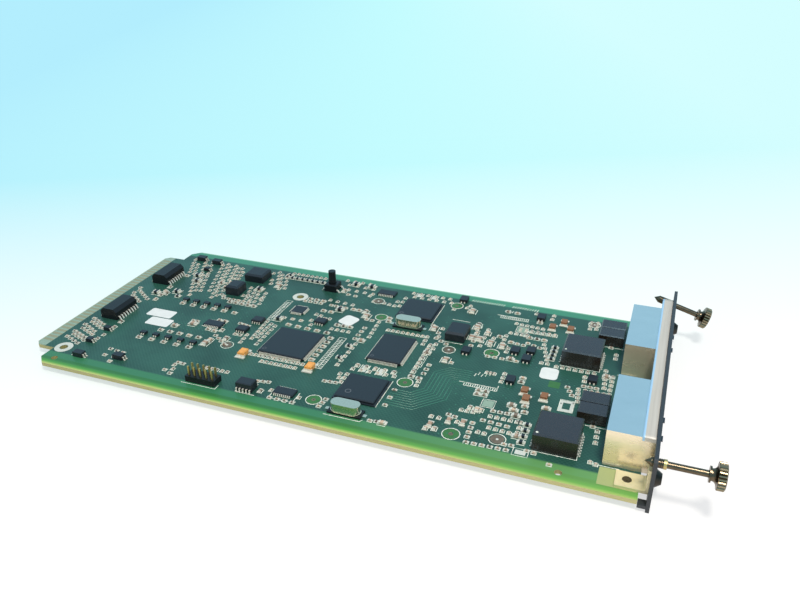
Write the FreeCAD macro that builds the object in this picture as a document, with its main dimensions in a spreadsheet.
"""Plug-in output card: a circuit board with a rear edge tongue, a front panel with two
twin-port modular jacks, and two captive thumbscrews.

Millimetres. The origin is the middle of the panel's bottom edge. +X leaves the panel
forwards, the board runs back along -X, +Y is the far side and +Z is up.
"""
import FreeCAD, Part
import math
import os
import re
import Sketcher

Vector = FreeCAD.Vector

SIZES = {
    # laminate
    "board_length": 231.9,
    "board_width": 111.8,
    "layout_width": 111.8,
    "board_thickness": 1.6,
    "board_corner": 3.6,
    "tongue_length": 9.9,
    "tongue_inset": 10.6,
    "tongue_corner": 2.0,
    "contact_length": 4.6,
    "contact_width": 1.5,
    "contact_pitch": 2.54,
    "contact_thickness": 0.05,
    "contact_edge": 0.6,
    "contact_margin": 3.0,
    "ring_hole_diameter": 3.0,
    "tooling_hole_diameter": 2.6,
    "tooling_hole_edge": 4.4,
    "rear_tooling_hole": 6.0,
    "front_tooling_hole": 24.6,
    # front panel
    "panel_thickness": 1.2,
    "panel_overhang": 3.2,
    "panel_above": 2.4,
    "panel_corner": 0.8,
    "panel_gap": 2.7,
    "board_lift": 2.4,
    "cutout_clearance": 0.3,
    "tab_width": 2.9,
    "tab_reach": 2.6,
    # twin-port jacks
    "jack_width": 33.4,
    "jack_height": 13.6,
    "jack_depth": 16.1,
    "jack_edge": 30.05,
    "shield_sheet": 0.4,
    "shield_fit": 0.05,
    "lip_width": 2.6,
    "lip_reach": 0.6,
    "lip_spacing": 9.9,
    "lip_shift": 10.35,
    "peg_width": 1.4,
    "peg_length": 2.3,
    "peg_back": 6.6,
    "peg_spacing": 6.2,
    "peg_clearance": 0.15,
    "port_width": 11.9,
    "port_height": 7.4,
    "port_floor": 3.4,
    "port_depth": 12.6,
    "port_spacing": 15.2,
    "latch_width": 6.2,
    "latch_height": 1.6,
    "spring_pitch": 1.02,
    "spring_count": 8,
    "spring_width": 0.45,
    "spring_gauge": 0.35,
    "spring_run": 9.6,
    "spring_return": 5.2,
    "spring_drop": 2.2,
    # gasket strip along the panel
    "gasket_depth": 4.1,
    "gasket_thickness": 1.4,
    "gasket_near_edge": 11.55,
    "gasket_far_edge": 7.35,
    # angle brackets and their screws
    "bracket_width": 7.4,
    "bracket_sheet": 1.0,
    "bracket_foot": 10.2,
    "bracket_rise": 9.0,
    "bracket_edge": 7.3,
    "bracket_hole_diameter": 3.2,
    "bracket_hole_back": 6.6,
    "foot_screw_diameter": 2.9,
    "foot_screw_head": 5.2,
    "foot_screw_head_height": 1.3,
    "face_screw_rise": 2.7,
    "face_screw_shift": 1.6,
    "face_screw_diameter": 2.9,
    "face_screw_head": 6.4,
    "face_screw_head_height": 2.2,
    "pan_crown": 0.55,
    "cheese_crown": 1.0,
    "screw_clearance": 0.06,
    # captive thumbscrews
    "thumb_edge": 5.0,
    "thumb_drop": 4.4,
    "thumb_hole_diameter": 3.4,
    "thumb_point": 2.0,
    "thumb_thread": 4.3,
    "thumb_thread_diameter": 2.85,
    "thumb_neck": 11.9,
    "thumb_neck_diameter": 2.2,
    "thumb_spigot": 3.2,
    "knob_clearance": 0.08,
    "knob_diameter": 8.6,
    "knob_thickness": 4.75,
    "knob_cone": 2.25,
    "knob_cone_diameter": 5.0,
    "knob_teeth": 18,
    "knob_tooth_depth": 0.45,
    "near_thumb_inset": 3.2,
    "far_thumb_inset": 8.6,
    "far_thumb_droop_degrees": 16.5,
    # line transformers and port filters
    "transformer_length": 14.8,
    "transformer_width": 14.2,
    "transformer_height": 6.7,
    "transformer_foot": 1.0,
    "transformer_notch": 2.6,
    "transformer_bevel": 0.5,
    "transformer_gap": 8.0,
    "transformer_shift": -10.4,
    "filter_length": 10.0,
    "filter_width": 6.5,
    "filter_height": 4.8,
    "filter_bevel": 0.4,
    "filter_gap": 1.3,
    "filter_shift": 9.6,
    "filter_pitch": 7.0,
    # processors
    "processor_side": 20.0,
    "processor_height": 1.6,
    "processor_x": -24.75,
    "processor_y": -10.8,
    "video_length": 14.0,
    "video_width": 20.0,
    "video_height": 1.6,
    "video_x": 15.45,
    "video_y": -1.1,
    "package_bevel": 0.35,
    "encoder_side": 17.0,
    "encoder_base": 0.5,
    "encoder_cap": 0.9,
    "encoder_rim": 0.8,
    "encoder_x": 15.05,
    "encoder_y": 1.7,
    "encoder_pitch": 64.8,
    # quartz crystals
    "crystal_length": 11.0,
    "crystal_width": 4.6,
    "crystal_height": 3.5,
    "crystal_base_length": 12.9,
    "crystal_base_width": 4.9,
    "crystal_base_height": 0.7,
    "crystal_gap": 14.6,
    # pin header
    "pin_pitch": 2.54,
    "pin_columns": 5,
    "pin_side": 0.64,
    "pin_top": 6.4,
    "pin_tail": 0.7,
    "pin_clearance": 0.06,
    "header_height": 2.5,
    "header_x": -44.05,
    "header_y": -45.4,
    # push-button switch
    "switch_side": 6.0,
    "switch_height": 3.5,
    "switch_well_diameter": 3.8,
    "switch_well_depth": 2.0,
    "switch_bevel": 0.4,
    "switch_leg_width": 0.8,
    "switch_leg_reach": 1.5,
    "switch_leg_rise": 1.2,
    "switch_leg_spread": 4.5,
    "switch_leg_gauge": 0.3,
    "lead_bend": 0.45,
    "button_diameter": 3.4,
    "button_top": 9.5,
    "button_gap": 0.4,
    "switch_x": -30.25,
    "switch_y": 40.6,
    # isolating modules beside the tongue
    "module_length": 8.2,
    "module_width": 13.7,
    "module_height": 5.0,
    "module_crown": 1.4,
    "module_x": 5.7,
    "module_y": 6.8,
    "module_pitch": 36.0,
    "module_lead_pitch": 1.6,
    "module_lead_count": 8,
    "module_lead_width": 0.6,
    "module_lead_reach": 1.4,
    "module_lead_rise": 1.6,
    "module_lead_gauge": 0.3,
    # power inductors
    "inductor_length": 9.6,
    "inductor_width": 8.8,
    "inductor_height": 4.0,
    "inductor_bevel": 0.8,
    "choke_length": 6.6,
    "choke_width": 7.4,
    "choke_height": 4.6,
    "coil_length": 8.2,
    "coil_width": 9.9,
    "coil_height": 4.0,
    # small packages: length, width, height
    "driver_length": 6.6,
    "driver_width": 4.4,
    "driver_height": 3.5,
    "thin_length": 8.4,
    "thin_width": 4.4,
    "thin_height": 1.1,
    "outline_length": 4.9,
    "outline_width": 3.9,
    "outline_height": 1.6,
    "square_length": 6.0,
    "square_width": 6.0,
    "square_height": 0.9,
    "transistor_length": 3.4,
    "transistor_width": 4.2,
    "transistor_height": 1.6,
    "diode_length": 2.6,
    "diode_width": 1.8,
    "diode_height": 1.1,
    "clamp_length": 2.6,
    "clamp_width": 2.0,
    "clamp_height": 1.7,
    "rectifier_length": 4.4,
    "rectifier_width": 2.7,
    "rectifier_height": 2.1,
    "tantalum_length": 3.0,
    "tantalum_width": 3.9,
    "tantalum_height": 2.0,
    "ceramic_length": 2.5,
    "ceramic_width": 3.2,
    "ceramic_height": 1.5,
    "chip_length": 1.3,
    "chip_width": 2.0,
    "chip_height": 0.9,
    # straight rows of like chips, from the rear edge and the centre line
    "lower_row_x": 27.8,
    "lower_row_y": -23.2,
    "lower_row_pitch": 6.1,
    "lower_row_count": 5,
    "upper_row_x": 27.3,
    "upper_row_y": 8.1,
    "upper_row_pitch": 5.5,
    "upper_row_count": 5,
}

# Centres of the small packages. The first number is measured from the board's rear edge,
# its middle or its front edge, the second from the centre line of a board of layout_width.
SPOTS = {
    "rear_inductor": [(47.0, 38.9)],
    "rear_choke": [(44.3, 23.1)],
    "middle_coil": [(36.95, 19.2)],
    "middle_driver": [(-26.05, -44.1)],
    "middle_thin": [(-11.15, -41.9), (-4.35, 44.6), (-64.15, -6.9)],
    "middle_outline": [(-21.65, 10.1), (-47.65, 2.1), (-50.15, -6.9)],
    "middle_square": [(-35.35, 16.6)],
    "middle_tantalum": [(-39.85, -23.6), (-9.85, -23.9)],
    "middle_transistor": [(30.85, 50.0), (43.85, 8.1)],
    "front_transistor": [
        (-53.6, 14.6), (-47.6, 16.6), (-48.1, 10.1),
        (-50.6, -6.4), (-49.1, 45.1), (-21.6, 4.1),
    ],
    "front_ceramic": [
        (-44.1, -11.4), (-42.6, -16.3), (-36.6, -12.9),
        (-39.1, 44.1), (-43.1, 38.6), (-35.6, 39.1),
    ],
    "rear_clamp": [(11.5, -26.0), (10.9, -36.2), (18.7, 38.4)],
    "rear_rectifier": [(14.5, -46.8), (30.9, -43.0), (9.5, 48.0), (18.9, 47.0)],
    "front_chip": [(-70.6, -42.0), (-65.1, -37.6), (-60.1, -37.2)],
    "rear_ring": [(3.7, -43.7), (74.9, 28.6)],
}

# Largest difference that still counts as touching.
TOUCH = 1e-6

doc = FreeCAD.newDocument("output_card")
sheet = doc.addObject("Spreadsheet::Sheet", "Sizes")


def enter(row, alias, number):
    """One aliased cell of the sheet."""
    sheet.set(f"A{row}", alias)
    sheet.set(f"B{row}", str(number))
    sheet.setAlias(f"B{row}", alias)


cells = dict(SIZES)
for kind, spots in SPOTS.items():
    for number, (along, across) in enumerate(spots, 1):
        cells[f"{kind}_x_{number}_"] = along
        cells[f"{kind}_y_{number}_"] = across
for row, (alias, number) in enumerate(cells.items(), 1):
    enter(row, alias, number)
doc.recompute()


def formula(text):
    """The text with each size name turned into a reference to the sheet."""
    return re.sub(r"[a-z]\w*", lambda word: "Sizes." + word.group(), text)


def value(text):
    """The number that a formula gives now."""
    return float(sheet.evalExpression(formula(text)))


# Planes that several pieces share.
PANEL_REAR = "(-panel_thickness / 2)"
PANEL_FRONT = "(panel_thickness / 2)"
BOARD_FRONT = "(-panel_thickness / 2 - panel_gap)"
BOARD_MIDDLE = "(-panel_thickness / 2 - panel_gap - board_length / 2)"
BOARD_REAR = "(-panel_thickness / 2 - panel_gap - board_length)"
BOARD_TOP = "(board_lift + board_thickness)"
BOARD_CENTRE = "(-panel_overhang / 2)"
NEAR_EDGE = "(-(board_width + panel_overhang) / 2)"
FAR_EDGE = "((board_width - panel_overhang) / 2)"
HALF_PANEL = "((board_width + panel_overhang) / 2)"
PANEL_TOP = "(board_lift + board_thickness + jack_height + panel_above)"
JACK_TOP = "(board_lift + board_thickness + jack_height)"
JACK_REAR = "(panel_thickness / 2 - jack_depth)"
JACK_OFFSET = "((board_width + panel_overhang) / 2 - jack_edge)"
BRACKET_OFFSET = "((board_width + panel_overhang) / 2 - bracket_edge)"
FACE_SCREW_OFFSET = "((board_width + panel_overhang) / 2 - bracket_edge - face_screw_shift)"
THUMB_OFFSET = "((board_width + panel_overhang) / 2 - thumb_edge)"
THUMB_RISE = "(board_lift + board_thickness + jack_height + panel_above - thumb_drop)"
EDGES = {"rear": BOARD_REAR, "middle": BOARD_MIDDLE, "front": BOARD_FRONT}
SIDES = {"near": "-", "far": ""}

subparts = {}


def keep(label, piece):
    """Registers a finished sub-part under the name of its node."""
    piece.Label = label
    subparts[label] = piece
    return piece


def place(piece, x, y, z):
    for axis, text in zip("xyz", (x, y, z)):
        piece.setExpression(f"Placement.Base.{axis}", formula(text))


def new_body(name):
    return doc.addObject("PartDesign::Body", name)


def new_sketch(body, name, plane, offset="0"):
    """A sketch on one of the body's own origin planes, moved along the plane's normal."""
    sketch = body.newObject("Sketcher::SketchObject", name)
    support = [item for item in body.Origin.OriginFeatures if item.Role == plane][0]
    sketch.AttachmentSupport = [(support, "")]
    sketch.MapMode = "FlatFace"
    if offset != "0":
        sketch.setExpression("AttachmentOffset.Base.z", formula(offset))
    return sketch


def tie_point(sketch, shape, point, x, y):
    """Ties one point of a sketch to the sheet, or to an axis where its coordinate is zero."""
    for kind, axis, text in (("DistanceX", -2, x), ("DistanceY", -1, y)):
        if text == "0":
            sketch.addConstraint(Sketcher.Constraint("PointOnObject", shape, point, axis))
            continue
        index = sketch.addConstraint(Sketcher.Constraint(kind, -1, 1, shape, point, value(text)))
        name = f"{kind}_{shape}_{point}"
        sketch.renameConstraint(index, name)
        sketch.setExpression(f"Constraints.{name}", formula(text))


def outline(sketch, corners):
    """A closed polygon whose corners are pairs of formulas."""
    points = [Vector(value(x), value(y), 0) for x, y in corners]
    first = sketch.GeometryCount
    count = len(corners)
    for start, end in zip(points, points[1:] + points[:1]):
        sketch.addGeometry(Part.LineSegment(start, end))
    for step in range(count):
        following = first + (step + 1) % count
        sketch.addConstraint(Sketcher.Constraint("Coincident", first + step, 2, following, 1))
    for step, (x, y) in enumerate(corners):
        tie_point(sketch, first + step, 1, x, y)


def rectangle(sketch, x, y, length, width):
    """A rectangle about its centre."""
    left, right = f"{x} - ({length}) / 2", f"{x} + ({length}) / 2"
    low, high = f"{y} - ({width}) / 2", f"{y} + ({width}) / 2"
    outline(sketch, [(left, low), (right, low), (right, high), (left, high)])


def circle(sketch, x, y, diameter):
    middle = Vector(value(x), value(y), 0)
    shape = sketch.addGeometry(Part.Circle(middle, Vector(0, 0, 1), value(diameter) / 2))
    tie_point(sketch, shape, 3, x, y)
    index = sketch.addConstraint(Sketcher.Constraint("Diameter", shape, value(diameter)))
    name = f"Diameter_{shape}"
    sketch.renameConstraint(index, name)
    sketch.setExpression(f"Constraints.{name}", formula(diameter))


def pad(body, sketch, length, middle=False, back=False):
    feature = body.newObject("PartDesign::Pad", sketch.Name + "_pad")
    feature.Profile = sketch
    feature.Midplane = middle
    feature.Reversed = back
    feature.setExpression("Length", formula(length))
    doc.recompute()
    return feature


def pocket(body, sketch, depth, back=False):
    """A cut along the sketch's normal, or against it, that has to take material away."""
    before = body.Shape.Volume
    feature = body.newObject("PartDesign::Pocket", sketch.Name + "_cut")
    feature.Profile = sketch
    feature.Reversed = back
    feature.setExpression("Length", formula(depth))
    doc.recompute()
    if body.Shape.Volume >= before:
        raise RuntimeError(f"{sketch.Name} cuts nothing")
    return feature


def turn(body, name, corners):
    """A revolved piece: its half profile lies above the sketch's X axis."""
    sketch = new_sketch(body, name, "XZ_Plane")
    outline(sketch, corners)
    feature = body.newObject("PartDesign::Revolution", name + "_turned")
    feature.Profile = sketch
    feature.ReferenceAxis = (sketch, ["H_Axis"])
    feature.Angle = 360
    doc.recompute()
    return feature


def soften(body, base, wanted, size, kind="PartDesign::Chamfer"):
    """A bevel or a fillet on the edges of the last feature that a test picks."""
    names = [f"Edge{number}" for number, edge in enumerate(base.Shape.Edges, 1) if wanted(edge)]
    feature = body.newObject(kind, base.Name + "_soft")
    feature.Base = (base, names)
    feature.setExpression("Radius" if kind == "PartDesign::Fillet" else "Size", formula(size))
    doc.recompute()
    return feature


def is_upright(edge):
    box = edge.BoundBox
    return box.XLength < TOUCH and box.YLength < TOUCH and box.ZLength > TOUCH


def top_edges(height):
    """A test for the edges of a piece's flat top, with the piece standing on zero."""
    level = value(height) - TOUCH
    return lambda edge: edge.BoundBox.ZMin > level


def block(name, length, width, height, x, y, z):
    """A plain box about its centre, standing on z."""
    piece = doc.addObject("Part::Box", name)
    for field, text in (("Length", length), ("Width", width), ("Height", height)):
        piece.setExpression(field, formula(text))
    place(piece, f"{x} - ({length}) / 2", f"{y} - ({width}) / 2", z)
    return piece


def gather(label, members):
    """Like pieces in one node, as separate solids."""
    piece = doc.addObject("Part::Compound", label)
    piece.Links = members
    return keep(label, piece)


def copies(label, shape, moves):
    """Repeats of one small solid that no single body can hold."""
    piece = doc.addObject("Part::Feature", label)
    piece.Shape = Part.makeCompound([shape.translated(move) for move in moves])
    return keep(label, piece)


def strip(corners, width):
    """A bent strip of wire or sheet: its profile in XZ, its width along Y about zero."""
    points = [Vector(x, -width / 2, z) for x, z in corners]
    face = Part.Face(Part.makePolygon(points + points[:1]))
    return face.extrude(Vector(0, width, 0))


def moulded(name, length, width, height, bevel, x, y, z):
    """A moulded package about its centre: a padded rectangle with a bevelled top edge."""
    body = new_body(name)
    sketch = new_sketch(body, name + "_plan", "XY_Plane")
    rectangle(sketch, "0", "0", length, width)
    solid = pad(body, sketch, height)
    soften(body, solid, top_edges(height), bevel)
    place(body, x, y, z)
    return body


def across(distance):
    """Place across the board, which keeps its share of the board's width."""
    return f"{BOARD_CENTRE} + {distance} * board_width / layout_width"


def spot(kind, number):
    """Centre of one small package, as formulas."""
    edge = EDGES[kind.split("_")[0]]
    return f"{edge} + {kind}_x_{number}_", across(f"{kind}_y_{number}_")


def count(name):
    return round(value(name))


def hole_row(middle, pitch, total):
    """Formulas for evenly spaced places about a middle."""
    return [f"{middle} + ({step} - ({total} - 1) / 2) * {pitch}" for step in range(total)]


# Board: laminate with a narrower rear tongue, and the holes of the pieces that pass through it.
def jack_pegs(side):
    """Places of one jack shield's pegs in X and Y."""
    for x in (f"{PANEL_FRONT} - peg_back", f"{PANEL_FRONT} - peg_back - peg_spacing"):
        for sign in ("-", "+"):
            yield x, f"{SIDES[side]}{JACK_OFFSET} {sign} (jack_width - shield_sheet) / 2"


def pin_places():
    for sign in ("-", "+"):
        for x in hole_row(f"{BOARD_MIDDLE} + header_x", "pin_pitch", count("pin_columns")):
            yield x, f"{across('header_y')} {sign} pin_pitch / 2"


board = new_body("board")
plan = new_sketch(board, "board_plan", "XY_Plane", "board_lift")
tongue_end = f"{BOARD_REAR} - tongue_length"
tongue_near = f"{NEAR_EDGE} + tongue_inset"
tongue_far = f"{FAR_EDGE} - tongue_inset"
pin_opening = "pin_side + 2 * pin_clearance"
outline(plan, [
    (BOARD_FRONT, NEAR_EDGE),
    (BOARD_FRONT, FAR_EDGE),
    (f"{BOARD_REAR} + board_corner", FAR_EDGE),
    (BOARD_REAR, f"{FAR_EDGE} - board_corner"),
    (BOARD_REAR, tongue_far),
    (f"{tongue_end} + tongue_corner", tongue_far),
    (tongue_end, f"{tongue_far} - tongue_corner"),
    (tongue_end, f"{tongue_near} + tongue_corner"),
    (f"{tongue_end} + tongue_corner", tongue_near),
    (BOARD_REAR, tongue_near),
    (BOARD_REAR, f"{NEAR_EDGE} + board_corner"),
    (f"{BOARD_REAR} + board_corner", NEAR_EDGE),
])
for side in SIDES:
    for x, y in jack_pegs(side):
        rectangle(plan, x, y, "peg_width + 2 * peg_clearance", "shield_sheet + 2 * peg_clearance")
    circle(plan, f"{PANEL_REAR} - bracket_hole_back", f"{SIDES[side]}{BRACKET_OFFSET}",
           "bracket_hole_diameter")
for x, y in pin_places():
    rectangle(plan, x, y, pin_opening, pin_opening)
for number in range(1, len(SPOTS["rear_ring"]) + 1):
    circle(plan, *spot("rear_ring", number), "ring_hole_diameter")
for x in (f"{BOARD_REAR} + rear_tooling_hole", f"{BOARD_FRONT} - front_tooling_hole"):
    circle(plan, x, f"{NEAR_EDGE} + tooling_hole_edge", "tooling_hole_diameter")
keep("main_board", board)
pad(board, plan, "board_thickness")

# Plated fingers on the tongue's upper face, as many as fit between its margins.
finger = Part.makeBox(value("contact_length"), value("contact_width"), value("contact_thickness"))
finger_span = value(f"{tongue_far} - ({tongue_near}) - 2 * contact_margin - contact_width")
finger_count = math.floor(finger_span / value("contact_pitch")) + 1
finger_x = value(f"{tongue_end} + contact_edge")
finger_moves = []
for row in hole_row(BOARD_CENTRE, "contact_pitch", finger_count):
    finger_moves.append(Vector(finger_x, value(f"{row} - contact_width / 2"), value(BOARD_TOP)))
copies("edge_contacts", finger, finger_moves)

# Front panel: punched and folded sheet with a cut-out for each jack and a tab under each board corner.
panel = new_body("panel")
face = new_sketch(panel, "panel_face", "YZ_Plane", PANEL_REAR)
outline(face, [
    (f"-{HALF_PANEL}", "0"),
    (HALF_PANEL, "0"),
    (HALF_PANEL, f"{PANEL_TOP} - panel_corner"),
    (f"{HALF_PANEL} - panel_corner", PANEL_TOP),
    (f"-{HALF_PANEL} + panel_corner", PANEL_TOP),
    (f"-{HALF_PANEL}", f"{PANEL_TOP} - panel_corner"),
])
for side, sign in SIDES.items():
    rectangle(face, f"{sign}{JACK_OFFSET}", f"{BOARD_TOP} + jack_height / 2",
              "jack_width + 2 * cutout_clearance", "jack_height + 2 * cutout_clearance")
    circle(face, f"{sign}{THUMB_OFFSET}", THUMB_RISE, "thumb_hole_diameter")
    circle(face, f"{sign}{FACE_SCREW_OFFSET}", f"{BOARD_TOP} + face_screw_rise",
           "face_screw_diameter + 2 * screw_clearance")
keep("front_panel", panel)
pad(panel, face, "panel_thickness")
tabs = new_sketch(panel, "panel_tabs", "XY_Plane", "board_lift")
tab_x = f"{PANEL_REAR} - tab_reach / 2"
rectangle(tabs, tab_x, f"{NEAR_EDGE} + tab_width / 2", "tab_reach", "tab_width")
rectangle(tabs, tab_x, f"{FAR_EDGE} - tab_width / 2", "tab_reach", "tab_width")
pad(panel, tabs, "panel_thickness", back=True)


# Twin-port jacks: tinned shield can, moulded insert with two ports, and the contact springs.
def jack(side):
    middle = f"{SIDES[side]}{JACK_OFFSET}"
    inner_width = "jack_width - 2 * (shield_sheet + shield_fit)"
    inner_height = "jack_height - shield_sheet - shield_fit"
    inner_depth = "jack_depth - shield_sheet - shield_fit"

    shield = new_body(side + "_shield")
    walls = new_sketch(shield, side + "_shield_walls", "YZ_Plane", "-jack_depth")
    rectangle(walls, "0", "jack_height / 2", "jack_width", "jack_height")
    pad(shield, walls, "jack_depth")
    hollow = new_sketch(shield, side + "_shield_hollow", "YZ_Plane", "shield_sheet - jack_depth")
    rectangle(hollow, "0", "(jack_height - shield_sheet) / 2",
              "jack_width - 2 * shield_sheet", "jack_height - shield_sheet")
    pocket(shield, hollow, "jack_depth", back=True)
    lips = new_sketch(shield, side + "_shield_lips", "XY_Plane", "jack_height")
    for y in hole_row("-lip_shift", "lip_spacing", 2):
        rectangle(lips, "0", y, "2 * lip_reach", "lip_width")
    pad(shield, lips, "shield_sheet", back=True)
    pegs = new_sketch(shield, side + "_shield_pegs", "XY_Plane")
    for x in ("-peg_back", "-peg_back - peg_spacing"):
        for sign in ("-", ""):
            rectangle(pegs, x, f"{sign}(jack_width - shield_sheet) / 2", "peg_width", "shield_sheet")
    pad(shield, pegs, "peg_length", back=True)
    place(shield, PANEL_FRONT, middle, BOARD_TOP)
    keep(side + "_jack_shield", shield)

    insert = new_body(side + "_insert")
    filling = new_sketch(insert, side + "_insert_block", "YZ_Plane", f"-({inner_depth})")
    rectangle(filling, "0", f"({inner_height}) / 2", inner_width, inner_height)
    pad(insert, filling, inner_depth)
    ports = new_sketch(insert, side + "_insert_ports", "YZ_Plane")
    for y in hole_row("0", "port_spacing", 2):
        outline(ports, [
            (f"{y} - latch_width / 2", "port_floor - latch_height"),
            (f"{y} + latch_width / 2", "port_floor - latch_height"),
            (f"{y} + latch_width / 2", "port_floor"),
            (f"{y} + port_width / 2", "port_floor"),
            (f"{y} + port_width / 2", "port_floor + port_height"),
            (f"{y} - port_width / 2", "port_floor + port_height"),
            (f"{y} - port_width / 2", "port_floor"),
            (f"{y} - latch_width / 2", "port_floor"),
        ])
    pocket(insert, ports, "port_depth")
    place(insert, PANEL_FRONT, middle, BOARD_TOP)
    keep(side + "_jack_insert", insert)

    gauge = value("spring_gauge")
    back = value("-port_depth")
    front = back + value("spring_run")
    tip = front - value("spring_return")
    roof = value(f"{BOARD_TOP} + port_floor + port_height")
    low = roof - value("spring_drop")
    spring = strip([
        (back, roof),
        (front, roof),
        (tip, low),
        (tip - gauge, low),
        (front - 3 * gauge, roof - gauge),
        (back, roof - gauge),
    ], value("spring_width"))
    moves = []
    for y in hole_row(middle, "port_spacing", 2):
        for row in hole_row(y, "spring_pitch", count("spring_count")):
            moves.append(Vector(value(PANEL_FRONT), value(row), 0))
    copies(side + "_jack_springs", spring, moves)


for side in SIDES:
    jack(side)

# Gasket strip that lies on both jacks behind the panel.
gasket_near = f"(gasket_near_edge - {HALF_PANEL})"
gasket_far = f"({HALF_PANEL} - gasket_far_edge)"
gasket = moulded("gasket", "gasket_depth", f"({gasket_far} - {gasket_near})", "gasket_thickness",
                 "gasket_thickness / 4", f"{PANEL_REAR} - gasket_depth / 2",
                 f"({gasket_far} + {gasket_near}) / 2", JACK_TOP)
keep("emi_gasket", gasket)


# Angle brackets: bent strips that join the board to the panel.
def bracket(side):
    body = new_body(side + "_bracket")
    bend = new_sketch(body, side + "_bracket_bend", "XZ_Plane")
    outline(bend, [
        ("-bracket_foot", "0"),
        ("0", "0"),
        ("0", "bracket_rise"),
        ("-bracket_sheet", "bracket_rise"),
        ("-bracket_sheet", "bracket_sheet"),
        ("-bracket_foot", "bracket_sheet"),
    ])
    bent = pad(body, bend, "bracket_width", middle=True)
    sheet_depth = value("bracket_sheet")

    def in_bend(edge):
        middle = edge.CenterOfMass
        return abs(middle.x + sheet_depth) < TOUCH and abs(middle.z - sheet_depth) < TOUCH

    soften(body, bent, in_bend, "bracket_sheet / 2", "PartDesign::Fillet")
    foot_hole = new_sketch(body, side + "_bracket_foot_hole", "XY_Plane")
    circle(foot_hole, "-bracket_hole_back", "0", "foot_screw_diameter + 2 * screw_clearance")
    pocket(body, foot_hole, "bracket_sheet", back=True)
    face_hole = new_sketch(body, side + "_bracket_face_hole", "YZ_Plane")
    sign = "" if side == "near" else "-"
    circle(face_hole, f"{sign}face_screw_shift", "face_screw_rise",
           "face_screw_diameter + 2 * screw_clearance")
    pocket(body, face_hole, "bracket_sheet")
    place(body, PANEL_REAR, f"{SIDES[side]}{BRACKET_OFFSET}", BOARD_TOP)
    keep(side + "_bracket", body)


# Screws: head, then shank, along the sketch's X axis. The crown is the share of the head's
# width that is left at its top.
def headed_screw(name, head, head_height, crown, shank, reach):
    body = new_body(name)
    turn(body, name + "_profile", [
        ("0", "0"),
        (head_height, "0"),
        (head_height, f"{head} / 2 * {crown}"),
        ("0", f"{head} / 2"),
        ("0", f"{shank} / 2"),
        (f"-({reach})", f"{shank} / 2"),
        (f"-({reach})", "0"),
    ])
    return body


face_screws = []
foot_screws = []
for side, sign in SIDES.items():
    bracket(side)
    screw = headed_screw(side + "_face_screw", "face_screw_head", "face_screw_head_height", "pan_crown",
                         "face_screw_diameter", "panel_thickness + bracket_sheet")
    place(screw, PANEL_FRONT, f"{sign}{FACE_SCREW_OFFSET}", f"{BOARD_TOP} + face_screw_rise")
    face_screws.append(screw)
    screw = headed_screw(side + "_foot_screw", "foot_screw_head", "foot_screw_head_height", "cheese_crown",
                         "foot_screw_diameter", "board_thickness + bracket_sheet")
    screw.Placement.Rotation = FreeCAD.Rotation(Vector(0, 1, 0), 90)
    place(screw, f"{PANEL_REAR} - bracket_hole_back", f"{sign}{BRACKET_OFFSET}", "board_lift")
    foot_screws.append(screw)
gather("panel_screws", face_screws)
gather("bracket_screws", foot_screws)


# Captive thumbscrews: a turned shank that slides in the panel, and its knurled knob.
def thumbscrew(side):
    thread_end = "(thumb_point + thumb_thread)"
    neck_end = f"({thread_end} + thumb_neck)"
    spigot_end = f"({neck_end} + thumb_spigot)"
    start = f"-{side}_thumb_inset"

    shank = new_body(side + "_shank")
    turn(shank, side + "_shank_profile", [
        (start, "0"),
        (f"{start} + {spigot_end}", "0"),
        (f"{start} + {spigot_end}", "thumb_neck_diameter / 2"),
        (f"{start} + {thread_end}", "thumb_neck_diameter / 2"),
        (f"{start} + {thread_end}", "thumb_thread_diameter / 2"),
        (f"{start} + thumb_point", "thumb_thread_diameter / 2"),
    ])

    knob = new_body(side + "_knob")
    back = f"({start} + {neck_end})"
    front = f"({back} + knob_thickness)"
    cone_end = f"({back} + knob_cone)"
    bore_end = f"({start} + {spigot_end} + knob_clearance)"
    disc = turn(knob, side + "_knob_profile", [
        (bore_end, "0"),
        (front, "0"),
        (front, "knob_diameter / 2"),
        (cone_end, "knob_diameter / 2"),
        (back, "knob_cone_diameter / 2"),
        (back, "thumb_neck_diameter / 2 + knob_clearance"),
        (bore_end, "thumb_neck_diameter / 2 + knob_clearance"),
    ])
    groove = new_sketch(knob, side + "_knob_groove", "YZ_Plane", front)
    half_tooth = f"knob_diameter * {math.pi / 4:.4f} / knob_teeth"
    outline(groove, [
        ("0", "knob_diameter / 2 - knob_tooth_depth"),
        (half_tooth, "knob_diameter / 2 + knob_tooth_depth"),
        (f"-{half_tooth}", "knob_diameter / 2 + knob_tooth_depth"),
    ])
    cut = pocket(knob, groove, "knob_thickness - knob_cone")
    knurl = knob.newObject("PartDesign::PolarPattern", side + "_knob_knurl")
    knurl.Originals = [cut]
    knurl.Axis = (disc.Profile[0], ["H_Axis"])
    knurl.Angle = 360
    knurl.setExpression("Occurrences", formula("knob_teeth"))
    knob.Tip = knurl
    doc.recompute()

    for piece in (shank, knob):
        if side == "far":
            piece.Placement.Rotation = FreeCAD.Rotation(Vector(0, 1, 0), value("far_thumb_droop_degrees"))
        place(piece, "0", f"{SIDES[side]}{THUMB_OFFSET}", THUMB_RISE)
    keep(side + "_thumbscrew_shank", shank)
    keep(side + "_thumbscrew_knob", knob)


for side in SIDES:
    thumbscrew(side)


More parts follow.
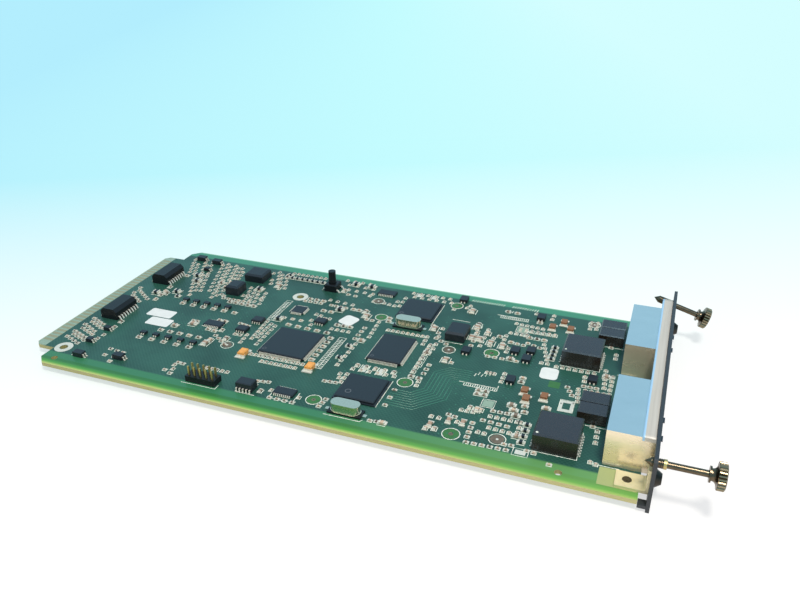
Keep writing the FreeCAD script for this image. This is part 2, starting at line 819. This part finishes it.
# Line transformers: moulded blocks on feet, one behind each jack.
def line_transformer(side):
    body = new_body(side + "_transformer")
    section = new_sketch(body, side + "_transformer_section", "YZ_Plane")
    outline(section, [
        ("-transformer_width / 2", "0"),
        ("-transformer_width / 2 + transformer_notch", "0"),
        ("-transformer_width / 2 + transformer_notch", "transformer_foot"),
        ("transformer_width / 2 - transformer_notch", "transformer_foot"),
        ("transformer_width / 2 - transformer_notch", "0"),
        ("transformer_width / 2", "0"),
        ("transformer_width / 2", "transformer_height"),
        ("-transformer_width / 2", "transformer_height"),
    ])
    solid = pad(body, section, "transformer_length", middle=True)
    soften(body, solid, top_edges("transformer_height"), "transformer_bevel")
    place(body, f"{JACK_REAR} - transformer_gap - transformer_length / 2",
          f"{SIDES[side]}{JACK_OFFSET} + transformer_shift", BOARD_TOP)
    keep(side + "_line_transformer", body)


filters = []
for side, sign in SIDES.items():
    line_transformer(side)
    for number, y in enumerate(hole_row(f"{sign}{JACK_OFFSET} + filter_shift", "filter_pitch", 2), 1):
        filters.append(moulded(f"{side}_filter_{number}", "filter_length", "filter_width",
                               "filter_height", "filter_bevel",
                               f"{JACK_REAR} - filter_gap - filter_length / 2", y, BOARD_TOP))
gather("port_filters", filters)

# Large packages in the middle of the board.
processor = moulded("processor_package", "processor_side", "processor_side", "processor_height",
                    "package_bevel", f"{BOARD_MIDDLE} + processor_x", across("processor_y"), BOARD_TOP)
keep("processor", processor)
video = moulded("video_package", "video_length", "video_width", "video_height", "package_bevel",
                f"{BOARD_MIDDLE} + video_x", across("video_y"), BOARD_TOP)
keep("video_chip", video)


def encoder_row(side):
    return across(f"(encoder_y {SIDES[side] or '+'} encoder_pitch / 2)")


def stepped_package(side):
    """Ball-grid package: a thin substrate under a slightly smaller moulded cap."""
    body = new_body(side + "_encoder_package")
    base = new_sketch(body, side + "_encoder_base", "XY_Plane")
    rectangle(base, "0", "0", "encoder_side", "encoder_side")
    pad(body, base, "encoder_base")
    cap = new_sketch(body, side + "_encoder_cap", "XY_Plane", "encoder_base")
    rectangle(cap, "0", "0", "encoder_side - 2 * encoder_rim", "encoder_side - 2 * encoder_rim")
    solid = pad(body, cap, "encoder_cap")
    soften(body, solid, top_edges("encoder_base + encoder_cap"), "package_bevel")
    place(body, f"{BOARD_MIDDLE} + encoder_x", encoder_row(side), BOARD_TOP)
    keep(side + "_encoder", body)


def crystal(side):
    """Quartz crystal: a drawn can with round ends on a flat plastic base."""
    y = f"{encoder_row(side)} - crystal_gap"
    base = block(side + "_crystal_base", "crystal_base_length", "crystal_base_width",
                 "crystal_base_height", f"{BOARD_MIDDLE} + encoder_x", y, BOARD_TOP)
    body = new_body(side + "_crystal_can")
    plan = new_sketch(body, side + "_crystal_plan", "XY_Plane")
    rectangle(plan, "0", "0", "crystal_length", "crystal_width")
    solid = pad(body, plan, "crystal_height")
    soften(body, solid, is_upright, "crystal_width / 2 - crystal_base_height / 4", "PartDesign::Fillet")
    place(body, f"{BOARD_MIDDLE} + encoder_x", y, f"{BOARD_TOP} + crystal_base_height")
    return base, body


bases = []
cans = []
for side in SIDES:
    stepped_package(side)
    base, can = crystal(side)
    bases.append(base)
    cans.append(can)
gather("crystal_bases", bases)
gather("crystal_cans", cans)

# Pin header: moulded base with notched sides, and square pins through it and the board.
header = new_body("header")
header_plan = new_sketch(header, "header_plan", "XY_Plane")
header_length = "(pin_pitch * pin_columns)"
rectangle(header_plan, "0", "0", header_length, "2 * pin_pitch")
for sign in ("-", ""):
    for x in hole_row("0", "pin_pitch", count("pin_columns")):
        rectangle(header_plan, x, f"{sign}pin_pitch / 2", pin_opening, pin_opening)
pad(header, header_plan, "header_height")
place(header, f"{BOARD_MIDDLE} + header_x", across("header_y"), BOARD_TOP)
keep("header_base", header)
pins = []
for number, (x, y) in enumerate(pin_places(), 1):
    pins.append(block(f"pin_{number}", "pin_side", "pin_side", "pin_tail + board_thickness + pin_top",
                      x, y, "board_lift - pin_tail"))
gather("header_pins", pins)

# Push-button switch: body with a well, four bent legs, and the sprung button.
switch_x = f"{BOARD_MIDDLE} + switch_x"
switch_y = across("switch_y")
switch = moulded("switch", "switch_side", "switch_side", "switch_height", "switch_bevel",
                 switch_x, switch_y, BOARD_TOP)
well = new_sketch(switch, "switch_well", "XY_Plane", "switch_height")
circle(well, "0", "0", "switch_well_diameter")
pocket(switch, well, "switch_well_depth")
keep("reset_switch_body", switch)


def gull_lead(kind):
    """A bent lead that leaves a package at x = 0 and slants down to the board."""
    reach = value(f"{kind}_reach")
    rise = value(f"{kind}_rise")
    gauge = value(f"{kind}_gauge")
    bend = reach * value("lead_bend")
    return strip([
        (0, rise),
        (bend, rise),
        (reach, 0),
        (reach - gauge, 0),
        (bend - gauge, rise - gauge),
        (0, rise - gauge),
    ], value(f"{kind}_width"))


def lead_pairs(label, lead, half_length, centres, rows):
    """Leads along the two ends of a package, mirrored about its centre."""
    piece = doc.addObject("Part::Feature", label)
    turned = lead.copy()
    turned.rotate(Vector(0, 0, 0), Vector(0, 0, 1), 180)
    solids = []
    for centre in centres:
        for row in rows:
            solids.append(lead.translated(centre + Vector(half_length, row, 0)))
            solids.append(turned.translated(centre + Vector(-half_length, row, 0)))
    piece.Shape = Part.makeCompound(solids)
    return keep(label, piece)


lead_pairs("reset_switch_legs", gull_lead("switch_leg"), value("switch_side / 2"),
           [Vector(value(switch_x), value(switch_y), value(BOARD_TOP))],
           [value(row) for row in hole_row("0", "switch_leg_spread", 2)])

button = new_body("button")
button_foot = "(switch_height - switch_well_depth + button_gap)"
button_plan = new_sketch(button, "button_plan", "XY_Plane", button_foot)
circle(button_plan, "0", "0", "button_diameter")
pad(button, button_plan, f"button_top - {button_foot}")
place(button, switch_x, switch_y, BOARD_TOP)
keep("reset_switch_button", button)


# Isolating modules beside the tongue: crowned mouldings with a row of leads at each end.
def edge_module(side):
    body = new_body(side + "_module")
    section = new_sketch(body, side + "_module_section", "XZ_Plane")
    outline(section, [
        ("-module_length / 2", "0"),
        ("module_length / 2", "0"),
        ("module_length / 2", "module_height - module_crown"),
        ("module_length / 2 - module_crown", "module_height"),
        ("-module_length / 2 + module_crown", "module_height"),
        ("-module_length / 2", "module_height - module_crown"),
    ])
    pad(body, section, "module_width", middle=True)
    x = f"{BOARD_REAR} + module_x"
    y = across(f"(module_y {SIDES[side] or '+'} module_pitch / 2)")
    place(body, x, y, BOARD_TOP)
    keep(side + "_edge_module", body)
    return Vector(value(x), value(y), value(BOARD_TOP))


module_centres = [edge_module(side) for side in SIDES]
lead_pairs("edge_module_leads", gull_lead("module_lead"), value("module_length / 2"), module_centres,
           [value(row) for row in hole_row("0", "module_lead_pitch", count("module_lead_count"))])


# Small packages, placed from the sheet's list of centres.
def packages(label, kinds, bevel=None):
    """The packages of one node. Each kind of place goes with the name of its size."""
    members = []
    for kind, size in kinds.items():
        for number in range(1, len(SPOTS[kind]) + 1):
            x, y = spot(kind, number)
            sizes = [f"{size}_length", f"{size}_width", f"{size}_height"]
            name = f"{kind}_{number}"
            if bevel:
                members.append(moulded(name, *sizes, bevel, x, y, BOARD_TOP))
            else:
                members.append(block(name, *sizes, x, y, BOARD_TOP))
    return gather(label, members)


packages("power_inductors", {"rear_inductor": "inductor", "rear_choke": "choke", "middle_coil": "coil"},
         "inductor_bevel")
packages("line_driver", {"middle_driver": "driver"}, "package_bevel")
packages("thin_packages", {"middle_thin": "thin"}, "package_bevel")
packages("small_outline_packages", {"middle_outline": "outline"}, "package_bevel")
packages("square_package", {"middle_square": "square"}, "package_bevel")
packages("tantalum_capacitors", {"middle_tantalum": "tantalum"}, "package_bevel")
packages("power_transistors", {"middle_transistor": "transistor", "front_transistor": "transistor"})
packages("ceramic_capacitors", {"front_ceramic": "ceramic"})
packages("diodes", {"rear_clamp": "clamp", "rear_rectifier": "rectifier"})
packages("chip_resistors", {"front_chip": "chip"})

row_chips = []
for name in ("lower_row", "upper_row"):
    for step in range(count(f"{name}_count")):
        x = f"{BOARD_REAR} + {name}_x + {step} * {name}_pitch"
        row_chips.append(block(f"{name}_{step}", "diode_length", "diode_width", "diode_height",
                               x, across(f"{name}_y"), BOARD_TOP))
gather("signal_transistors", row_chips)

# Test and hand over: every object has to be sound before any file is written.
doc.recompute()
for piece in doc.Objects:
    if {"Invalid", "Error"} & set(piece.State):
        raise RuntimeError(f"{piece.Label}: {piece.State}")
for label, piece in subparts.items():
    if piece.Shape.isNull() or not piece.Shape.isValid() or not piece.Shape.Solids:
        raise RuntimeError(f"{label} has no sound shape")
os.makedirs("parts", exist_ok=True)
for label, piece in subparts.items():
    piece.Shape.exportStep(f"parts/{label}.step")
print(len(subparts), "sub-parts,", sum(len(piece.Shape.Solids) for piece in subparts.values()), "solids")
